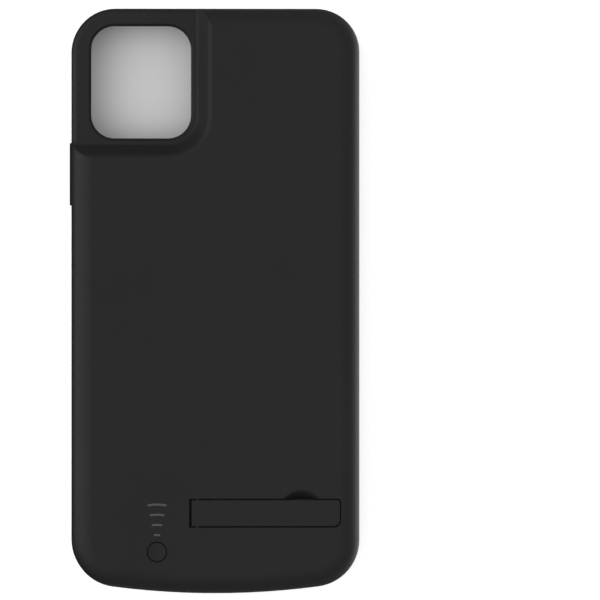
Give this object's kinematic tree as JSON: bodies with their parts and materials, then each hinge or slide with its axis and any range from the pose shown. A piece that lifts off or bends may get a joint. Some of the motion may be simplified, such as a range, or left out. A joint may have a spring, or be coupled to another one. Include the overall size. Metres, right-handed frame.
{
  "type": "phone battery charging case",
  "caption": "Matt black battery case for a phone: hard rear shell with camera window, soft bumper, built-in plug, fold-out stand, power button and charge lights.",
  "frame": {"origin": "middle of the case, in the plane of the front lip that it lies on", "axes": "+X across the case, +Y towards its top end with the camera window, +Z out of its back"},
  "size_m": [0.0805, 0.1626, 0.0157],
  "materials": {
    "soft_touch_black": "soft-touch coated, matt",
    "soft_bumper_black": "moulded soft plastic, satin",
    "moulded_black": "fine spark texture",
    "soft_touch_leg": "soft-touch coated, matt",
    "button_black": "matt",
    "pin_steel": "ground",
    "switch_plastic": "moulded",
    "smoked_guide": "smoked clear plastic",
    "light_body": "moulded",
    "board_green": "solder resist",
    "screw_steel": "zinc plated",
    "ferrite_grey": "pressed ferrite",
    "chip_black": "moulded epoxy",
    "capacitor_tan": "ceramic",
    "socket_steel": "nickel plated",
    "insulator_black": "moulded",
    "plug_steel": "satin",
    "contact_gold": "gilded",
    "plug_base_black": "moulded",
    "pouch_silver": "laminated foil",
    "tape_white": "adhesive film",
    "tab_nickel": "nickel strip",
    "lead_sleeve": "insulated wire"
  },
  "bodies": {
    "case": {"rear_shell": "soft_touch_black", "bumper_frame": "soft_bumper_black", "inner_tray": "moulded_black", "switch_housing": "switch_plastic", "light_guide": "smoked_guide", "indicator_leds": "light_body", "main_board": "board_green", "board_screws": "screw_steel", "boost_inductor": "ferrite_grey", "control_chips": "chip_black", "board_capacitors": "capacitor_tan", "input_socket_shell": "socket_steel", "input_socket_tongue": "insulator_black", "charge_plug": "plug_steel", "plug_contacts": "contact_gold", "plug_base": "plug_base_black", "plug_board": "board_green", "battery_cell": "pouch_silver", "cell_tape": "tape_white", "cell_tabs": "tab_nickel", "cell_board": "board_green", "cell_leads": "lead_sleeve"},
    "kickstand": {"kickstand_leg": "soft_touch_leg", "kickstand_pin": "pin_steel"},
    "button": {"power_button": "button_black", "switch_plunger": "switch_plastic"}
  },
  "joints": [
    {"name": "kickstand_hinge", "type": "hinge", "parent": "case", "child": "kickstand", "pos_m": [-0.00524, -0.05893, 0.01455], "axis": [0, -1, 0], "range_deg": [0, 80]},
    {"name": "power_press", "type": "slide", "parent": "case", "child": "button", "axis": [0, 0, -1], "range_m": [0, 0.0004], "stiffness_N_per_m": 2500}
  ]
}
